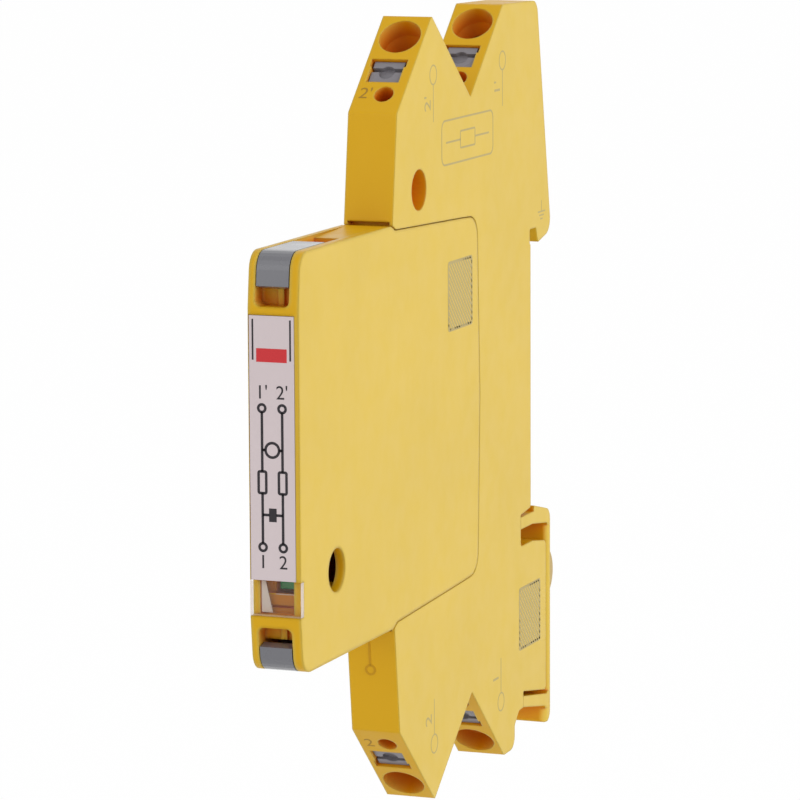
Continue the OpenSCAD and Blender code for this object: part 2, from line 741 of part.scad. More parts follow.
// Clear window with a slanted light guide on its inner side
module indicator_window() {
    color([0.9, 0.9, 0.88, 0.4]) {
        block([-hw, front_y, view_low_z + seat_gap], [hw, view_back_y, view_top_z - seat_gap]);
        translate([0, ledge_y0 - 0.1, 0]) rotate([90, 0, 0]) linear_extrude(ledge_y0 - view_back_y - 0.09)
            polygon([[cover_x + 0.15, view_top_z - 0.1], [cover_x + 0.65, view_top_z - 0.1],
                [cover_x + 1.5, view_low_z + 0.2], [cover_x + 0.15, view_low_z + 0.2]]);
    }
}

// Flag with a shutter that covers the light hole when it drops
module indicator_flag() {
    color([0.1, 0.55, 0.25]) {
        block([flag_x0, flag_y0, flag_low_z], [flag_x1, flag_y0 + flag_t, flag_low_z + flag_h]);
        block([flag_x1 - shutter_t, flag_y0 + flag_t - 0.01, shutter_low_z],
            [flag_x1, shutter_rear_y, shutter_top_z]);
    }
}
module indicator_spring() {
    color([0.75, 0.76, 0.78]) translate([flag_x0 + 1, flag_y0 + flag_t / 2, flag_low_z + flag_h])
        coil(flag_spring_r - flag_spring_wire, flag_spring_wire, flag_spring_h, 5);
}

// Button: the module's own corner, backed by a skirt, a top and a stem
module release_button(flip) {
    edge_z = recess_z(flip) + recess_h;
    under_z = module_half - button_top_t;
    skirt_y = front_y + button_skirt;
    color([0.55, 0.55, 0.58]) below(flip) {
        slab(cover_x + slide_gap, module_in_x - slide_gap) intersection() {
            module_outline();
            polygon([[front_y, edge_z], [skirt_y, edge_z - button_slant], [skirt_y, under_z],
                [button_rear_y, under_z], [button_rear_y, far], [front_y, far]]);
        }
        block([stem_x0, stem_y0, stem_low_z], [stem_x1, stem_y1, under_z + 0.01]);
    }
}
module button_spring(flip) {
    color([0.75, 0.76, 0.78]) below(flip)
        translate([(stem_x0 + stem_x1) / 2, (stem_y0 + stem_y1) / 2, spring_floor_z])
            coil(button_spring_r - button_spring_wire, button_spring_wire, stem_low_z - spring_floor_z, 3);
}

// Circuit board with a cut-out for the gas discharge tube
module circuit_board() {
    color([0.36, 0.18, 0.1]) difference() {
        block([board_x0, board_y0, -board_half], [board_x1, board_y1, board_half]);
        block([-far, tube_y - tube_r - 0.2, -tube_len / 2 - 0.3],
            [far, tube_y + tube_r + 0.2, tube_len / 2 + 0.3]);
    }
}
module gas_discharge_tube() {
    color([0.85, 0.85, 0.87]) translate([(cover_x + module_in_x) / 2, tube_y, -tube_len / 2])
        cylinder(r = tube_r, h = tube_len);
}
module suppressor_diodes() {
    color([0.15, 0.15, 0.16]) for (side = [-1, 1])
        translate([board_x1, diode_y, side * diode_z - diode.z / 2]) cube(diode);
}
module decoupling_resistors() {
    color([0.2, 0.2, 0.22]) for (side = [-1, 1], z = resistor_z)
        translate([board_x1, resistor_y, side * z - resistor.z / 2]) cube(resistor);
}

// Contact blade that reaches through the module's back wall into a fork
module blade(z) {
    reach_y = -pocket_back - pocket_gap + blade_reach;
    color([0.8, 0.72, 0.45]) {
        block([-blade_w / 2, board_y1 + 0.1, z - copper_t / 2], [blade_w / 2, reach_y, z + copper_t / 2]);
        block([board_x1, board_y1 - 3, z - 1], [board_x1 + 0.6, board_y1 + 0.11, z + 1]);
    }
}

base_housing();
base_cover();
rail_foot();
rail_contact_spring();
earth_bar();
release_pusher(0);  // release_pusher_upper_front
release_pusher(1);  // release_pusher_upper_rear
release_pusher(2);  // release_pusher_lower_front
release_pusher(3);  // release_pusher_lower_rear
clamp_spring(0);  // clamp_spring_upper_front
clamp_spring(1);  // clamp_spring_upper_rear
clamp_spring(2);  // clamp_spring_lower_front
clamp_spring(3);  // clamp_spring_lower_rear
contact_bar(0);  // contact_bar_upper_front
contact_bar(1);  // contact_bar_upper_rear
contact_bar(2);  // contact_bar_lower_front
contact_bar(3);  // contact_bar_lower_rear
module_housing();
module_cover();
label_plate();
indicator_window();
indicator_flag();
indicator_spring();
release_button(false);  // release_button_upper
release_button(true);  // release_button_lower
button_spring(false);  // button_spring_upper
button_spring(true);  // button_spring_lower
circuit_board();
gas_discharge_tube();
suppressor_diodes();
decoupling_resistors();
blade(blade_front_z);  // line_blade_upper_front
blade(blade_rear_z);  // line_blade_upper_rear
blade(-blade_front_z);  // line_blade_lower_front
blade(-blade_rear_z);  // line_blade_lower_rear
blade(0);  // earth_blade
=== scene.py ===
"""Looks of a slim plug-in surge arrester for a top-hat rail.

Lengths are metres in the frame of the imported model: X across the width, -Y towards the user, Z up.
"""

import math

import bmesh
import bpy
from mathutils import Matrix, Vector


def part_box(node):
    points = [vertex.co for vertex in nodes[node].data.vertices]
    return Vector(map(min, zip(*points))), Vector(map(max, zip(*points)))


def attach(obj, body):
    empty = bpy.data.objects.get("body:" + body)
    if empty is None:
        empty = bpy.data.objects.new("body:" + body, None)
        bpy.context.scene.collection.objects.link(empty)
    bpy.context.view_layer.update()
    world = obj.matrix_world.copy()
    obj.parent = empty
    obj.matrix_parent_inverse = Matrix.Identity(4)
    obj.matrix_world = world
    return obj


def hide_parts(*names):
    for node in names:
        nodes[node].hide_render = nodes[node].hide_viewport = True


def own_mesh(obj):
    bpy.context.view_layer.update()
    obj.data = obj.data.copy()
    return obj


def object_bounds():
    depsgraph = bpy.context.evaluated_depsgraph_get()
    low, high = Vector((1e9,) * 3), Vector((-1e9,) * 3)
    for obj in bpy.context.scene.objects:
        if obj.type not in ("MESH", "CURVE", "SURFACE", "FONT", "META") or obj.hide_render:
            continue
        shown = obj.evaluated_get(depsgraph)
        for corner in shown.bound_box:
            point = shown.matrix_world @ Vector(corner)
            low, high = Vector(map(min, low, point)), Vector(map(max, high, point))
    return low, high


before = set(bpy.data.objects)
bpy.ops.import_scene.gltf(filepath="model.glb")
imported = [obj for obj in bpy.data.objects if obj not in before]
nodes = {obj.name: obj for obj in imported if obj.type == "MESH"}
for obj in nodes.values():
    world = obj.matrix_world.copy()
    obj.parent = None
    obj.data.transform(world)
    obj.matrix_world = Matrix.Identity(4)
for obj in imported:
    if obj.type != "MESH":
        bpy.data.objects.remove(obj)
cad_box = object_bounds()
MM = 0.001

TERMINALS = ("upper_front", "upper_rear", "lower_front", "lower_rear")
NUMBERS = ("2'", "1'", "2", "1")


# Materials

def new_material(name):
    """A node material, with its tree and its shader."""
    mat = bpy.data.materials.new(name)
    mat.use_nodes = True
    return mat, mat.node_tree, mat.node_tree.nodes["Principled BSDF"]


def add(tree, kind, **sockets):
    """A new node; keywords set its inputs by name, with _ for a space."""
    node = tree.nodes.new(kind)
    for name, value in sockets.items():
        node.inputs[name.replace("_", " ")].default_value = value
    return node


def noise(tree, size, detail=2.0):
    """Noise in the object's own coordinates, with features of about that size."""
    place = tree.nodes.new("ShaderNodeTexCoord")
    node = add(tree, "ShaderNodeTexNoise", Scale=1 / size, Detail=detail)
    tree.links.new(place.outputs["Object"], node.inputs["Vector"])
    return node.outputs["Fac"]


def spread(tree, fac, low, high, start=0.3, end=0.7):
    """Maps a stretch of a value, the middle of a noise, to a range."""
    node = add(tree, "ShaderNodeMapRange", From_Min=start, From_Max=end, To_Min=low, To_Max=high)
    tree.links.new(fac, node.inputs["Value"])
    return node.outputs["Result"]


def mixed(tree, fac, first, second):
    """Mixes two colours, each a tuple or an output, by a value."""
    node = tree.nodes.new("ShaderNodeMix")
    node.data_type = "RGBA"
    for socket, colour in (("A", first), ("B", second)):
        if isinstance(colour, tuple):
            node.inputs[socket].default_value = (*colour, 1)
        else:
            tree.links.new(colour, node.inputs[socket])
    tree.links.new(fac, node.inputs["Factor"])
    return node.outputs["Result"]


FINE_DETAIL = 3.0
EDGE_SAMPLES, FACING_SAMPLES, HOLLOW_SAMPLES = 4, 8, 8


def grain(tree, shader, size, height, round_edge=0.0):
    """A fine moulded grain, over edges that are softened by round_edge."""
    bump = add(tree, "ShaderNodeBump", Strength=1.0, Distance=height)
    tree.links.new(noise(tree, size, FINE_DETAIL), bump.inputs["Height"])
    if round_edge:
        edge = add(tree, "ShaderNodeBevel", Radius=round_edge)
        edge.samples = EDGE_SAMPLES
        tree.links.new(edge.outputs["Normal"], bump.inputs["Normal"])
    tree.links.new(bump.outputs["Normal"], shader.inputs["Normal"])


def shade(colour, factor):
    """A colour made darker or lighter."""
    return tuple(channel * factor for channel in colour)


# How far a face turns sideways between its shaded and its lit tone, which is painted light, how far off a
# wall makes a hollow for painted shade, and how soft the limit at the rail seat is, behind which light is
# painted
FACING_SPAN = (0.05, 0.65)
HOLLOW_REACH = 7 * MM
SEAT_BLEND = 0.5 * MM


def painted_wall_light(tree, edge, wall, round_edge):
    """Painted light: a deeper, shaded colour on the narrow faces, and a paler colour painted on the broad
    side walls and on their round edges, where light and sheen fall.
    """
    turned = add(tree, "ShaderNodeBevel", Radius=round_edge)
    turned.samples = FACING_SAMPLES
    parts = tree.nodes.new("ShaderNodeSeparateXYZ")
    tree.links.new(turned.outputs["Normal"], parts.inputs["Vector"])
    sideways = tree.nodes.new("ShaderNodeMath")
    sideways.operation = "ABSOLUTE"
    tree.links.new(parts.outputs["X"], sideways.inputs[0])
    return mixed(tree, spread(tree, sideways.outputs[0], 0, 1, *FACING_SPAN), edge, wall)


def painted_hollow_shade(tree, hollow_shade, colour, span):
    """Paints shade into hollows: turns a colour orange where little light reaches; span gives how open the
    deepest and the plain places are.
    """
    hollow = add(tree, "ShaderNodeAmbientOcclusion", Distance=HOLLOW_REACH)
    hollow.samples = HOLLOW_SAMPLES
    hollow.only_local = True
    return mixed(tree, spread(tree, hollow.outputs["AO"], 0, 1, *span), hollow_shade, colour)


def painted_hook_light(tree, front, rear):
    """Painted light in the hook: one hollow colour in front of the rail seat, and a lighter one behind it,
    where light reaches the hook's inner face.
    """
    place = tree.nodes.new("ShaderNodeTexCoord")
    parts = tree.nodes.new("ShaderNodeSeparateXYZ")
    tree.links.new(place.outputs["Object"], parts.inputs["Vector"])
    return mixed(tree, spread(tree, parts.outputs["Y"], 0, 1, -SEAT_BLEND, SEAT_BLEND), front, rear)


TONE_SIZE, GLOSS_SIZE, GLOSS_DRIFT, COAT_ROUGH = 14 * MM, 3 * MM, 0.06, 0.2
GRAIN_SIZE, GRAIN_H = 0.22 * MM, 0.004 * MM


def plastic(name, colour, rough, round_edge=0.15 * MM, drift=0.06, specular=0.5, coat=0.0,
            wall=None, hollow_shade=None, rear_hollow_light=None, span=(0, 1)):
    """Moulded plastic: slow drift of tone, uneven gloss, fine grain and soft edges; with a wall colour it
    gets painted light on the side walls, and with a hollow colour painted shade in the hollows.
    """
    mat, tree, shader = new_material(name)
    slow = noise(tree, TONE_SIZE)
    tone = mixed(tree, slow, shade(colour, 1 - drift), shade(colour, 1 + drift / 2))
    if wall:
        pale = mixed(tree, slow, shade(wall, 1 - drift), shade(wall, 1 + drift / 2))
        tone = painted_wall_light(tree, tone, pale, round_edge)
    if rear_hollow_light:
        hollow_shade = painted_hook_light(tree, hollow_shade, rear_hollow_light)
    if hollow_shade:
        tone = painted_hollow_shade(tree, hollow_shade, tone, span)
    tree.links.new(tone, shader.inputs["Base Color"])
    gloss = spread(tree, noise(tree, GLOSS_SIZE), rough - GLOSS_DRIFT, rough + GLOSS_DRIFT)
    tree.links.new(gloss, shader.inputs["Roughness"])
    shader.inputs["Specular IOR Level"].default_value = specular
    shader.inputs["Coat Weight"].default_value = coat
    shader.inputs["Coat Roughness"].default_value = COAT_ROUGH
    grain(tree, shader, GRAIN_SIZE, GRAIN_H, round_edge)
    return mat


STREAK_SIZE, STREAK_DETAIL, SHEEN_SIZE, SHEEN_DRIFT = 0.5 * MM, 4.0, 0.2 * MM, 0.08
METAL_GRAIN_SIZE, METAL_GRAIN_H = 0.15 * MM, 0.002 * MM


def metal(name, colour, rough, streak=0.12):
    """Rolled metal: fine streaks in gloss and tone."""
    mat, tree, shader = new_material(name)
    fine = noise(tree, STREAK_SIZE, STREAK_DETAIL)
    tree.links.new(mixed(tree, fine, shade(colour, 1 - streak), colour), shader.inputs["Base Color"])
    sheen = spread(tree, noise(tree, SHEEN_SIZE), rough - SHEEN_DRIFT, rough + SHEEN_DRIFT)
    tree.links.new(sheen, shader.inputs["Roughness"])
    shader.inputs["Metallic"].default_value = 1.0
    grain(tree, shader, METAL_GRAIN_SIZE, METAL_GRAIN_H)
    return mat


FLOW_SIZE, FLOW_SHADE, CLEAR_GLOSS_SIZE, CLEAR_ROUGH = 1.2 * MM, 0.9, 1.5 * MM, (0.04, 0.14)
RIPPLE_SIZE, RIPPLE_H, CLEAR_EDGE = 2 * MM, 0.002 * MM, 0.08 * MM


def clear(name, tint, opacity):
    """Clear plastic with faint flow marks."""
    mat, tree, shader = new_material(name)
    flow = mixed(tree, noise(tree, FLOW_SIZE), shade(tint, FLOW_SHADE), tint)
    tree.links.new(flow, shader.inputs["Base Color"])
    shader.inputs["Alpha"].default_value = opacity
    gloss = spread(tree, noise(tree, CLEAR_GLOSS_SIZE), *CLEAR_ROUGH)
    tree.links.new(gloss, shader.inputs["Roughness"])
    grain(tree, shader, RIPPLE_SIZE, RIPPLE_H, CLEAR_EDGE)
    return mat


INK_SIZE, INK_SHADES, INK_ROUGH, INK_SPECULAR = 0.15 * MM, (0.85, 1.1), (0.45, 0.65), 0.2


def ink(name, colour):
    """Print that shows the grain of what it lies on."""
    mat, tree, shader = new_material(name)
    fine = noise(tree, INK_SIZE, FINE_DETAIL)
    tone = mixed(tree, fine, *(shade(colour, factor) for factor in INK_SHADES))
    tree.links.new(tone, shader.inputs["Base Color"])
    tree.links.new(spread(tree, fine, *INK_ROUGH), shader.inputs["Roughness"])
    shader.inputs["Specular IOR Level"].default_value = INK_SPECULAR
    return mat


YELLOW = (0.62, 0.345, 0.004)
# Paler yellow painted on the side walls and round edges, where light and sheen fall
LIT_WALL_YELLOW = (0.63, 0.44, 0.06)
# Orange painted as shade in the hollows
HOLLOW_SHADE_ORANGE = (0.66, 0.135, 0.002)
# Lighter gold painted in the hollows of the hook, where light reaches from behind
HOOK_LIGHT_GOLD = (0.8, 0.6, 0.06)
GREY = (0.115, 0.115, 0.13)
FILM_EDGE = 0.05 * MM


def yellow_plastic(name, span, round_edge, rear_hollow_light=None):
    """Plastic of the housings, with painted light that makes it paler on the side walls and painted shade
    that makes it orange in the hollows.
    """
    return plastic(name, YELLOW, 0.38, round_edge, specular=0.2, wall=LIT_WALL_YELLOW, hollow_shade=HOLLOW_SHADE_ORANGE,
                   rear_hollow_light=rear_hollow_light, span=span)


base_yellow = yellow_plastic("base_plastic", (0.22, 0.72), 0.35 * MM, HOOK_LIGHT_GOLD)
module_yellow = yellow_plastic("module_plastic", (0.19, 0.66), 0.7 * MM)
foot_yellow = yellow_plastic("foot_plastic", (0.45, 0.95), 0.35 * MM)
grey = plastic("grey_plastic", GREY, 0.3, specular=0.6, coat=0.65)
pusher_grey = plastic("pusher_plastic", (0.19, 0.178, 0.195), 0.32)
label_film = plastic("label_film", (0.58, 0.495, 0.505), 0.35, FILM_EDGE, 0.04)
# Brown-orange painted as the dim shade on the walls behind the window
bay_shade_brown = plastic("bay_shade_paint", (0.45, 0.16, 0.004), 0.5, FILM_EDGE, 0.2, specular=0.1)
green = plastic("green_plastic", (0.02, 0.33, 0.07), 0.4)
board_brown = plastic("board_laminate", (0.14, 0.008, 0.006), 0.35, FILM_EDGE, 0.2)
epoxy = plastic("dark_epoxy", (0.02, 0.02, 0.022), 0.4)
clear_plastic = clear("clear_plastic", (0.86, 0.82, 0.76), 0.03)
# Clear strips painted as highlights on the window's edges, also used for its frosted light guide
clear_glint_and_frost = clear("clear_glint_and_frost", (0.8, 0.7, 0.62), 0.5)
clear_foot_glint = clear("clear_foot_glint", (0.62, 0.52, 0.36), 0.22)
steel = metal("spring_steel", (0.62, 0.62, 0.64), 0.3)
strip_metal = metal("strip_metal", (0.64, 0.47, 0.19), 0.45)
copper = metal("copper", (0.78, 0.42, 0.26), 0.32)
plating = metal("plated_brass", (0.8, 0.68, 0.38), 0.28)
tube_metal = metal("tube_metal", (0.75, 0.74, 0.72), 0.35)
print_grey = ink("print_grey", (0.43, 0.34, 0.14))
mould_mark = ink("mould_mark", (0.34, 0.19, 0.02))
# Darker colour that paints the shade of the moulded relief on the lower arm
relief_shade_mark = ink("relief_shade_mark", (0.5, 0.26, 0.005))
print_dark = ink("print_dark", (0.03, 0.026, 0.03))
print_red = ink("print_red", (0.55, 0.035, 0.04))

NODE_MATERIALS = {
    base_yellow: ["base_housing", "base_cover"],
    module_yellow: ["module_housing", "module_cover"],
    foot_yellow: ["rail_foot"],
    grey: ["release_button_upper", "release_button_lower"],
    pusher_grey: ["release_pusher_" + t for t in TERMINALS],
    label_film: ["label_plate"],
    clear_plastic: ["indicator_window"],
    green: ["indicator_flag"],
    board_brown: ["circuit_board"],
    epoxy: ["suppressor_diodes", "decoupling_resistors"],
    steel: ["clamp_spring_" + t for t in TERMINALS]
    + ["indicator_spring", "button_spring_upper", "button_spring_lower"],
    strip_metal: ["rail_contact_spring"],
    copper: ["earth_bar"] + ["contact_bar_" + t for t in TERMINALS],
    plating: ["earth_blade"] + ["line_blade_" + t for t in TERMINALS],
    tube_metal: ["gas_discharge_tube"],
}
for material, names in NODE_MATERIALS.items():
    for name in names:
        nodes[name].data.materials.clear()
        nodes[name].data.materials.append(material)


# Prints and moulded marks: thin solids that lie on a face

PRINT_T = 0.012 * MM
SINK = 0.01 * MM
LINE = 0.18 * MM
DIGIT_SHARE = 0.7  # height of a digit as a share of the font's size


def on_face(origin, right, up):
    """Matrix of a face's frame: x to the right, y up and z out of the face."""
    x, y = Vector(right), Vector(up)
    matrix = Matrix((x, y, x.cross(y))).transposed().to_4x4()
    matrix.translation = Vector(origin)
    return matrix


def loop(bm, points):
    """New corners of a flat face."""
    return [bm.verts.new((p[0], p[1], 0)) for p in points]


def add_bar(bm, low, high):
    """A rectangle between two corners."""
    (x0, y0), (x1, y1) = low, high
    bm.faces.new(loop(bm, [(x0, y0), (x1, y0), (x1, y1), (x0, y1)]))


def add_stroke(bm, start, end, width=LINE):
    """A straight line of that width."""
    a, b = Vector(start), Vector(end)
    edge = (b - a).normalized().orthogonal() * width / 2
    bm.faces.new(loop(bm, [a + edge, a - edge, b - edge, b + edge]))


def circle_points(centre, r, sides=48):
    """Outline of a circle."""
    angles = [2 * math.pi * k / sides for k in range(sides)]
    return [(centre[0] + r * math.cos(a), centre[1] + r * math.sin(a)) for a in angles]


def rounded_points(centre, width, height, r, steps=8):
    """Outline of a rectangle with round corners."""
    points = []
    for corner, (sx, sy) in enumerate(((1, 1), (-1, 1), (-1, -1), (1, -1))):
        middle = (centre[0] + sx * (width / 2 - r), centre[1] + sy * (height / 2 - r))
        for k in range(steps + 1):
            a = math.radians(90 * (corner + k / steps))
            points.append((middle[0] + r * math.cos(a), middle[1] + r * math.sin(a)))
    return points


def add_band(bm, outer, inner):
    """The band between two outlines with the same number of points."""
    a, b = loop(bm, outer), loop(bm, inner)
    for k in range(len(a)):
        n = (k + 1) % len(a)
        bm.faces.new((a[k], a[n], b[n], b[k]))


def add_ring(bm, centre, r, width=LINE):
    """A circle drawn as a line."""
    add_band(bm, circle_points(centre, r + width / 2), circle_points(centre, r - width / 2))


def add_frame(bm, centre, width, height, r, line=LINE):
    """A rounded rectangle drawn as a line."""
    add_band(bm, rounded_points(centre, width + line, height + line, r + line / 2),
             rounded_points(centre, width - line, height - line, r - line / 2))


def add_digits(bm, text, centre, height, turn=0.0):
    """Plain digits, centred, turned by an angle in degrees."""
    curve = bpy.data.curves.new("digits", "FONT")
    curve.body = text
    curve.align_x, curve.align_y = "CENTER", "CENTER"
    curve.size = height / DIGIT_SHARE
    holder = bpy.data.objects.new("digits", curve)
    bpy.context.scene.collection.objects.link(holder)
    bpy.context.view_layer.update()
    shaped = holder.evaluated_get(bpy.context.evaluated_depsgraph_get())
    mesh = bpy.data.meshes.new_from_object(shaped)
    mesh.transform(Matrix.Translation((*centre, 0)) @ Matrix.Rotation(math.radians(turn), 4, "Z"))
    bm.from_mesh(mesh)
    bpy.data.meshes.remove(mesh)
    bpy.data.objects.remove(holder)
    bpy.data.curves.remove(curve)


def mark(name, body, face, material, draw, thick=PRINT_T):
    """Draws a flat mark, gives it its thickness and lets it ride on a body."""
    bm = bmesh.new()
    draw(bm)
    bmesh.ops.recalc_face_normals(bm, faces=bm.faces)
    for f in bm.faces:
        if f.normal.z < 0:
            f.normal_flip()
    made = bmesh.ops.extrude_face_region(bm, geom=list(bm.faces))
    raised = [v for v in made["geom"] if isinstance(v, bmesh.types.BMVert)]
    bmesh.ops.translate(bm, verts=raised, vec=(0, 0, SINK + thick))
    bmesh.ops.translate(bm, verts=list(bm.verts), vec=(0, 0, -SINK))
    bmesh.ops.recalc_face_normals(bm, faces=bm.faces)
    mesh = bpy.data.meshes.new(name)
    bm.to_mesh(mesh)
    bm.free()
    mesh.materials.append(material)
    piece = bpy.data.objects.new(name, mesh)
    piece.matrix_world = face
    bpy.context.scene.collection.objects.link(piece)
    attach(piece, body)


side = on_face((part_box("base_housing")[1].x, 0, 0), (0, 1, 0), (0, 0, 1))
label_low, label_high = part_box("label_plate")
label_face = on_face((0, label_low.y, 0), (1, 0, 0), (0, 0, 1))

# Ring and line beside each terminal, with its number: ring centre (y, z) and end of the line, in mm
SYMBOL_R = 1.12 * MM
FIGURE_H, FIGURE_SIDE, FIGURE_SHIFT = 2.0 * MM, 1.75 * MM, 0.45 * MM
SYMBOLS = ((-33.8, 39.6, 34.1), (-10.15, 39.6, 34.1),
           (-34.25, -39.7, -34.3), (-11.0, -39.4, -33.9))
for terminal, number, place in zip(TERMINALS, NUMBERS, SYMBOLS):
    y, z, tail = (v * MM for v in place)

    def symbol(bm):
        toward = math.copysign(1, tail - z)
        add_ring(bm, (y, z), SYMBOL_R)
        add_stroke(bm, (y, z + toward * (SYMBOL_R + LINE / 2)), (y, tail))
        middle = (z + tail) / 2 + toward * FIGURE_SHIFT
        add_digits(bm, number, (y - FIGURE_SIDE, middle), FIGURE_H, 90)

    mark("terminal_symbol_" + terminal, "base", side, print_grey, symbol)

# Numbers beside the test holes, on the terminals' faces, which rise by TERM_RISE over TERM_RUN
TERM_RISE, TERM_RUN = 10.4, 11.3
TERM_ANGLE = math.atan2(TERM_RISE, TERM_RUN)
TERM_FRONT, TERM_LOW_Z, TERM_PITCH = 45.5 * MM, 36.05 * MM, 24.2 * MM
NUMBER_X, NUMBER_S, NUMBER_H = -1.7 * MM, 2.95 * MM, 1.65 * MM
for i, (terminal, number) in enumerate(zip(TERMINALS, NUMBERS)):
    up = 1 if i < 2 else -1
    corner = (0, -TERM_FRONT + (i % 2) * TERM_PITCH, up * TERM_LOW_Z)
    slope = on_face(corner, (1, 0, 0), (0, up * math.cos(TERM_ANGLE), math.sin(TERM_ANGLE)))

    def figure(bm):
        add_digits(bm, number, (NUMBER_X, up * NUMBER_S), NUMBER_H)

    mark("terminal_number_" + terminal, "base", slope, mould_mark, figure)

# Ring and line moulded on the front of the lower arm, whose face runs between two edges; their darker
# colour paints the shade that shows the relief
ARM_UPPER, ARM_LOWER = Vector((0, -47.1, -22.85)) * MM, Vector((0, -45.5, -36.05)) * MM
arm_face = on_face(ARM_LOWER, (1, 0, 0), (ARM_UPPER - ARM_LOWER).normalized())
RELIEF_X, RELIEF_UP, RELIEF_R, RELIEF_LINE = -0.3 * MM, 7.5 * MM, 0.55 * MM, 0.25 * MM
RELIEF_TAIL, RELIEF_T = 4.4 * MM, 0.05 * MM


def arm_symbol(bm):
    add_ring(bm, (RELIEF_X, RELIEF_UP), RELIEF_R, RELIEF_LINE)
    add_stroke(bm, (RELIEF_X, RELIEF_UP + RELIEF_R), (RELIEF_X, RELIEF_UP + RELIEF_TAIL), RELIEF_LINE)


mark("arm_symbol", "base", arm_face, relief_shade_mark, arm_symbol, RELIEF_T)


# Frame with a plain arrester sign on the upper arm: a box on a line
def arm_frame(bm):
    centre, width, height, corner_r = (-22.3 * MM, 31.3 * MM), 17.5 * MM, 5.2 * MM, 1 * MM
    box, box_r, gap, line = (5 * MM, 2 * MM), 0.2 * MM, 1.4 * MM, 0.22 * MM
    add_frame(bm, centre, width, height, corner_r, line)
    add_frame(bm, centre, *box, box_r, line)
    for way in (-1, 1):
        start = (centre[0] + way * box[0] / 2, centre[1])
        add_stroke(bm, start, (centre[0] + way * (width / 2 - gap), centre[1]), line)


mark("arm_frame", "base", side, print_grey, arm_frame)


# Earth sign near the rail hook: a stem on three bars
def earth_sign(bm):
    y, z, stem, pitch, halves = 4.1 * MM, 19.8 * MM, 1.4 * MM, 0.45 * MM, (1.35, 0.85, 0.4)
    add_stroke(bm, (y, z), (y, z + stem))
    for k, half in enumerate(halves):
        add_stroke(bm, (y - half * MM, z - k * pitch), (y + half * MM, z - k * pitch))


mark("earth_sign", "base", side, print_grey, earth_sign)


# Square fields of plain hatching
def hatch(low, size, pitch=0.75 * MM, width=0.36 * MM, corner_r=0.3 * MM):
    """Draws a square from its lower corner, filled with slanting lines."""
    def draw(bm):
        steps = round(2 * size / pitch)
        for k in range(1, steps):
            c = 2 * size * k / steps
            near, far = max(0, c - size), min(size, c)
            add_stroke(bm, (low[0] + near, low[1] + far), (low[0] + far, low[1] + near), width)
        add_frame(bm, (low[0] + size / 2, low[1] + size / 2), size, size, corner_r, width)

    return draw


module_hatch = hatch((-29.0 * MM, 9.0 * MM), 8.0 * MM)
base_hatch = hatch((-4.2 * MM, -34.2 * MM), 7.6 * MM)
mark("module_field", "module", side, print_grey, module_hatch)
mark("base_field", "base", side, print_grey, base_hatch)


# Label: two rules and a red bar at its top, and a plain wiring diagram
def label_rules(bm):
    left, right, top, foot, line = 0.43 * MM, 0.44 * MM, 0.4 * MM, 4.9 * MM, 0.2 * MM
    for x in (label_low.x + left, label_high.x - right):
        add_stroke(bm, (x, label_high.z - top), (x, label_high.z - foot), line)


def label_bar(bm):
    inset, top, foot = 0.85 * MM, 3.6 * MM, 5.1 * MM
    add_bar(bm, (label_low.x + inset, label_high.z - foot), (label_high.x - inset, label_high.z - top))


def wiring(bm):
    middle, half, line = (label_low.x + label_high.x) / 2, 1.2 * MM, 0.3 * MM
    top, low, ring = 6.2 * MM, -9.2 * MM, 0.42 * MM
    digit_gap, digit_h = 1.7 * MM, 1.5 * MM
    box_z, box_w, box_h, box_r = -2 * MM, 0.9 * MM, 2.4 * MM, 0.17 * MM
    tube_z, tube_r, tube_side = 1.6 * MM, 0.8 * MM, 0.81 * MM
    diode_z, diode_w, diode_h, diode_side = -5.6 * MM, 0.45 * MM, 0.75 * MM, 0.405 * MM
    for x, upper, lower in ((middle - half, *NUMBERS[1::2]), (middle + half, *NUMBERS[0::2])):
        add_ring(bm, (x, top), ring, line)
        add_ring(bm, (x, low), ring, line)
        add_digits(bm, upper, (x, top + digit_gap), digit_h)
        add_digits(bm, lower, (x, low - digit_gap), digit_h)
        add_stroke(bm, (x, top - ring), (x, box_z + box_h / 2), line)
        add_stroke(bm, (x, box_z - box_h / 2), (x, low + ring), line)
        add_frame(bm, (x, box_z), box_w, box_h, box_r, line)
        way = math.copysign(1, x - middle)
        add_stroke(bm, (x, tube_z), (middle + way * tube_side, tube_z), line)
        add_stroke(bm, (x, diode_z), (middle + way * diode_side, diode_z), line)
    add_ring(bm, (middle, tube_z), tube_r, line)
    add_bar(bm, (middle - diode_w, diode_z - diode_h), (middle + diode_w, diode_z + diode_h))


mark("label_rules", "module", label_face, print_dark, label_rules)
mark("label_bar", "module", label_face, print_red, label_bar)
mark("label_wiring", "module", label_face, print_dark, wiring)

flag_low, flag_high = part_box("indicator_flag")

# Painted highlights on the clear window: bright strips on its left edge, its foot and its cut side; and the
# frosted light guide behind it
view_low, view_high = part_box("indicator_window")
VIEW_T, VIEW_EDGE, VIEW_FOOT = 0.85 * MM, 0.3 * MM, 0.2 * MM
GUIDE_LEFT, GUIDE_TOP, GUIDE_FOOT = 0.95 * MM, 0.5 * MM, 1.35 * MM
GUIDE_BACK, GUIDE_UP, GUIDE_DOWN = 0.1 * MM, 0.25 * MM, 0.1 * MM
guide_face = on_face((0, view_low.y + VIEW_T + GUIDE_BACK, 0), (1, 0, 0), (0, 0, 1))
